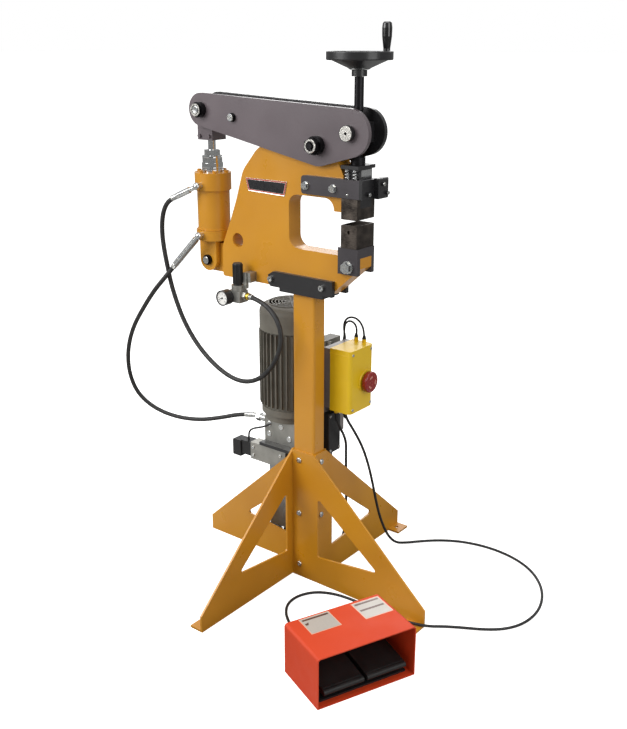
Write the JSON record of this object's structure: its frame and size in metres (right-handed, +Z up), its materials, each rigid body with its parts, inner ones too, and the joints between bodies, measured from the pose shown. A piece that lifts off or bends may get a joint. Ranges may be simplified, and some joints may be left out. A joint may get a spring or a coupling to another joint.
{
  "type": "foot operated sheet metal shrinker stretcher press",
  "caption": "Hydraulic C-frame sheet metal shaping press on a four legged stand, with lever head, handwheel stroke screw, power unit and foot pedal.",
  "frame": {"origin": "centre of the four floor anchor holes, on the floor under the column", "axes": "+Z up along the column, +X from the cylinder towards the jaws, -Y towards the side with the air regulator"},
  "size_m": [1.3599, 0.9571, 1.585],
  "materials": {
    "frame_yellow": "gloss powder coat",
    "box_yellow": "gloss enamel",
    "charcoal_coat": "satin powder coat",
    "black_coat": "satin powder coat",
    "motor_grey": "satin enamel",
    "pedal_orange": "gloss powder coat",
    "zinc_plate": "bright zinc plated",
    "tool_steel": "ground, lightly oiled",
    "chrome": "polished",
    "alloy": "cast and machined",
    "brass": "machined",
    "rubber": "moulded",
    "black_plastic": "moulded",
    "red_plastic": "moulded",
    "badge": "printed plate with red border"
  },
  "bodies": {
    "stand": {"column_tube": "frame_yellow", "column_cap_plate": "black_coat", "leg_front": "frame_yellow", "leg_far": "frame_yellow", "leg_rear": "frame_yellow", "leg_near": "frame_yellow", "leg_bolts": "zinc_plate", "c_frame": "frame_yellow", "clamp_bars": "black_coat", "frame_screws": "zinc_plate", "badge_plate": "badge", "lower_die_holder": "black_coat", "lower_die": "tool_steel", "guide_arms": "black_coat", "guide_front_block": "black_coat", "frame_pins": "zinc_plate", "return_springs": "zinc_plate", "motor_body": "motor_grey", "fan_cowl": "motor_grey", "manifold_block": "alloy", "oil_tank": "alloy", "solenoid_coil": "black_plastic", "power_unit_bracket": "black_coat", "manifold_fittings": "zinc_plate", "capacitor_box": "black_plastic", "switch_box_base": "motor_grey", "switch_box_cover": "box_yellow", "box_bracket": "motor_grey", "regulator_body": "alloy", "pressure_gauge": "black_plastic", "pedal_guard": "pedal_orange", "pedal_base": "black_plastic", "hydraulic_hose": "rubber", "air_hose": "rubber", "pedal_cable": "rubber", "mains_lead": "rubber", "mains_coil": "rubber", "mains_plug": "black_plastic", "motor_lead": "rubber", "control_lead": "rubber", "valve_lead": "rubber"},
    "lever": {"lever_plate_near": "charcoal_coat", "lever_plate_far": "black_coat", "lever_pins": "zinc_plate"},
    "trunnion": {"trunnion_nut": "black_coat"},
    "spindle_end": {"spindle_foot": "zinc_plate"},
    "spindle": {"spindle_screw": "tool_steel", "handwheel": "black_coat"},
    "wheel_handle": {"handwheel_handle": "black_plastic"},
    "ram": {"ram_block": "black_coat", "upper_die": "tool_steel"},
    "barrel": {"cylinder_barrel": "frame_yellow", "cylinder_gland": "chrome", "cylinder_fittings": "zinc_plate"},
    "rod": {"piston_rod": "chrome", "rod_yoke": "charcoal_coat"},
    "stop_button": {"stop_button": "red_plastic"},
    "regulator_knob": {"regulator_knob": "black_plastic"},
    "treadle_left": {"treadle_left": "rubber"},
    "treadle_right": {"treadle_right": "rubber"}
  },
  "joints": [
    {"name": "lever_swing", "type": "hinge", "parent": "stand", "child": "lever", "pos_m": [0.06, 0, 1.288], "axis": [0, 1, 0], "range_deg": [0, 7]},
    {"name": "trunnion_swing", "type": "hinge", "parent": "lever", "child": "trunnion", "pos_m": [0.158, 0, 1.323], "axis": [0, 1, 0], "range_deg": [-7.01, 0.01]},
    {"name": "spindle_foot_slide", "type": "slide", "parent": "trunnion", "child": "spindle_end", "axis": [0, 0, 1], "range_m": [-0.00001, 0.00601]},
    {"name": "handwheel_turn", "type": "hinge", "parent": "spindle_end", "child": "spindle", "pos_m": [0.158, 0, 1.4], "axis": [0, 0, 1], "range_deg": [0, 720]},
    {"name": "handle_spin", "type": "hinge", "parent": "spindle", "child": "wheel_handle", "pos_m": [0.21627, 0.03098, 1.55], "axis": [0, 0, 1], "continuous": true},
    {"name": "ram_slide", "type": "slide", "parent": "stand", "child": "ram", "axis": [0, 0, 1], "range_m": [-0.01221, 0.00001], "stiffness_N_per_m": 15000, "springref_m": 0.01, "deforming": ["return_springs"]},
    {"name": "barrel_swing", "type": "hinge", "parent": "stand", "child": "barrel", "pos_m": [-0.351, 0, 0.933], "axis": [0, 1, 0], "range_deg": [-0.01, 1.42]},
    {"name": "rod_slide", "type": "slide", "parent": "barrel", "child": "rod", "axis": [0, 0, 1], "range_m": [-0.00001, 0.0497]},
    {"name": "stop_button_press", "type": "slide", "parent": "stand", "child": "stop_button", "axis": [-1, 0, 0], "range_m": [0, 0.005], "stiffness_N_per_m": 800},
    {"name": "regulator_knob_turn", "type": "hinge", "parent": "stand", "child": "regulator_knob", "pos_m": [-0.209, -0.06, 0.915], "axis": [0, 0, 1], "range_deg": [-720, 720]},
    {"name": "treadle_left_press", "type": "hinge", "parent": "stand", "child": "treadle_left", "pos_m": [0.33514, -0.30068, 0.04], "axis": [0.3907, 0.9205, 0], "range_deg": [0, 5], "stiffness_Nm_per_rad": 8, "springref_deg": -6.88},
    {"name": "treadle_right_press", "type": "hinge", "parent": "stand", "child": "treadle_right", "pos_m": [0.33514, -0.30068, 0.04], "axis": [0.3907, 0.9205, 0], "range_deg": [0, 5], "stiffness_Nm_per_rad": 8, "springref_deg": -6.88}
  ],
  "couplings": [
    {"joint": "trunnion_swing", "follows": "lever_swing", "ratio": -1},
    {"joint": "ram_slide", "follows": "lever_swing", "m_per_rad": -0.0999},
    {"joint": "barrel_swing", "follows": "lever_swing", "ratio": 0.2012},
    {"joint": "rod_slide", "follows": "lever_swing", "m_per_rad": 0.406},
    {"joint": "spindle_foot_slide", "follows": "handwheel_turn", "m_per_rad": 0.00047746}
  ]
}
